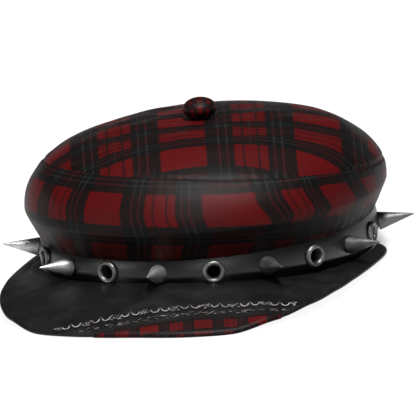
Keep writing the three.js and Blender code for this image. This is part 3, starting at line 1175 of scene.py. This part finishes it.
def thread_object(name, strands, material):
    """Thin tubes along short paths, as one mesh."""
    bm = bmesh.new()
    sides = 6
    for points, radius in strands:
        rest = [Vector(p) for p in to_rest(np.array(points))]
        rings = []
        for i, point in enumerate(rest):
            ahead = rest[min(i + 1, len(rest) - 1)] - rest[max(i - 1, 0)]
            ahead.normalize()
            up = Vector((0, 0, 1))
            across = ahead.cross(up).normalized()
            over = across.cross(ahead).normalized()
            ends = 0.55 if i in (0, len(rest) - 1) else 1.0
            ring = []
            for k in range(sides):
                t = 2 * math.pi * k / sides
                offset = across * math.cos(t) + over * math.sin(t) * 0.8
                ring.append(bm.verts.new(point + offset * radius * MM * ends))
            rings.append(ring)
        for a, b in zip(rings, rings[1:]):
            for k in range(sides):
                n = (k + 1) % sides
                bm.faces.new((a[k], a[n], b[n], b[k]))
        bm.faces.new(rings[0][::-1])
        bm.faces.new(rings[-1])
    bmesh.ops.recalc_face_normals(bm, faces=bm.faces)
    mesh = bpy.data.meshes.new(name)
    bm.to_mesh(mesh)
    bm.free()
    return finish_object(name, mesh, material)


# Floor, lights and camera

FLOOR_HALF = 30
FLOOR_GLOW = 0.93

# Under the head the floor's glow fades out, leaving painted shade on the floor inside the cap,
# between these two distances from the band's middle
GLOW_FROM = 0.088
GLOW_TO = 0.1

# What the lights are aimed at, about the middle of the cap
LIGHTS_AIM = (0, 0, 0.05)


def make_stage():
    """A wide pale floor that glows, but for the part under the head's hollow, left dark as painted
    shade.
    """
    g = Graph("pale_floor")
    grain = g.noise(g.place(), 40, 2)
    away = g.distance(g.place(), (0, REST_BACK * MM, 0))
    g.set(
        Base_Color=(0.1, 0.1, 0.1),
        Roughness=g.spread(grain, 0.3, 0.7, 0.75, 0.85),
        Emission_Color=(1.0, 1.0, 1.0),
        # The glow stops under the head, so the floor there stays dark as painted shade
        Emission_Strength=g.spread(away, GLOW_FROM, GLOW_TO, 0.0, FLOOR_GLOW),
    )
    corners = [[(x, y, 0) for x in (-FLOOR_HALF, FLOOR_HALF)] for y in (-FLOOR_HALF, FLOOR_HALF)]
    floor = grid_object("floor", np.array(corners, float), material=g.material)


def area_light(name, place, size, power):
    """A soft light of a size in metres and a power in watts, aimed at the cap."""
    light = bpy.data.lights.new(name, "AREA")
    light.shape = "RECTANGLE"
    light.size, light.size_y = size
    light.energy = power
    obj = bpy.data.objects.new(name, light)
    bpy.context.scene.collection.objects.link(obj)
    obj.location = place
    aim = Vector(LIGHTS_AIM) - Vector(place)
    obj.rotation_euler = aim.to_track_quat("-Z", "Y").to_euler()


def make_lights():
    area_light("front_top", (0.3, -0.52, 1.4), (0.25, 0.3), 38)
    area_light("front_low", (0.62, -1.5, 0.5), (0.35, 0.35), 3.4)
    area_light("over", (0.0, 0.1, 1.6), (0.5, 0.4), 10)
    area_light("side", (-1.3, -1.1, 0.55), (0.5, 0.7), 6)
    world = bpy.data.worlds.new("studio")
    world.use_nodes = True
    background = world.node_tree.nodes["Background"]
    background.inputs["Color"].default_value = (1, 1, 1, 1)
    background.inputs["Strength"].default_value = 0.06
    bpy.context.scene.world = world
    bpy.context.scene.view_settings.view_transform = "Standard"


def make_camera():
    """A long lens at the photograph's viewing angle, rolled as its camera was."""
    data = bpy.data.cameras.new("camera")
    camera = bpy.data.objects.new("camera", data)
    bpy.context.scene.collection.objects.link(camera)
    bpy.context.scene.camera = camera
    a, e = VIEW_TURN * RAD, VIEW_ELEVATION * RAD
    back = Vector((math.sin(a) * math.cos(e), -math.cos(a) * math.cos(e), math.sin(e)))
    data.sensor_width = 36
    data.lens = 36 * VIEW_DISTANCE / FRAME_WIDTH
    look = (-back).to_track_quat("-Z", "Y").to_matrix()
    turned = look @ Matrix.Rotation(VIEW_ROLL * RAD, 3, "Z")
    stud_ring = Vector(to_rest(np.array([0.0, 0.0, float(STUD_HEIGHT)])))
    shift = turned @ Vector((RING_ACROSS * FRAME_WIDTH, RING_UP * FRAME_WIDTH, 0))
    eye = stud_ring - shift + back * VIEW_DISTANCE
    camera.matrix_world = Matrix.Translation(eye) @ turned.to_4x4()


def make_cap():
    """Every piece of the cap, each with its material."""
    cloth = tartan("tartan_twill", period=SIDE_PERIOD, thread=0.00042, hem=True)
    small_cloth = tartan("tartan_small", period=0.0098, thread=0.00022)
    panel_weave = tartan("tartan_panel", period=0.0296, thread=0.0003)
    band_skin = leather(
        "band_leather", tone=0.0009, gloss=0.24, mottled=0.04, grain=0.04, shine=0.5,
        creases=0.01, soften=0.13)
    peak_skin = leather(
        "peak_leather", tone=0.0018, gloss=0.4, mottled=0.9, grain=0.25, shine=0.24, creases=0.12)
    # Lit and shaded copies of one steel, painted light and shade for the spikes
    painted_lit_steel = steel("painted_lit_steel", tone=0.62, rough=0.45)
    painted_shaded_steel = steel("painted_shaded_steel", tone=0.17, rough=0.48)
    dull_steel = steel("dull_steel", tone=0.2, rough=0.42)
    pale = thread("pale_thread", tone=0.26)
    dim = thread("dim_thread", tone=0.09)

    crown = make_crown(cloth)
    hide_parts("crown")
    button = make_button(small_cloth)
    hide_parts("top_button")
    band = make_band(band_skin)
    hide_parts("headband")
    peak = make_peak(peak_skin)
    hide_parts("peak")
    panel = make_panel(panel_weave)
    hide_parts("peak_panel")
    lace = make_lace(pale, dim)
    spikes = make_spikes(painted_lit_steel, painted_shaded_steel)
    eyelets = make_eyelets(dull_steel)
    for piece in (crown, button, band, peak, panel, *lace, *spikes, *eyelets):
        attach(piece, "root")


make_camera()
make_stage()
make_lights()
make_cap()
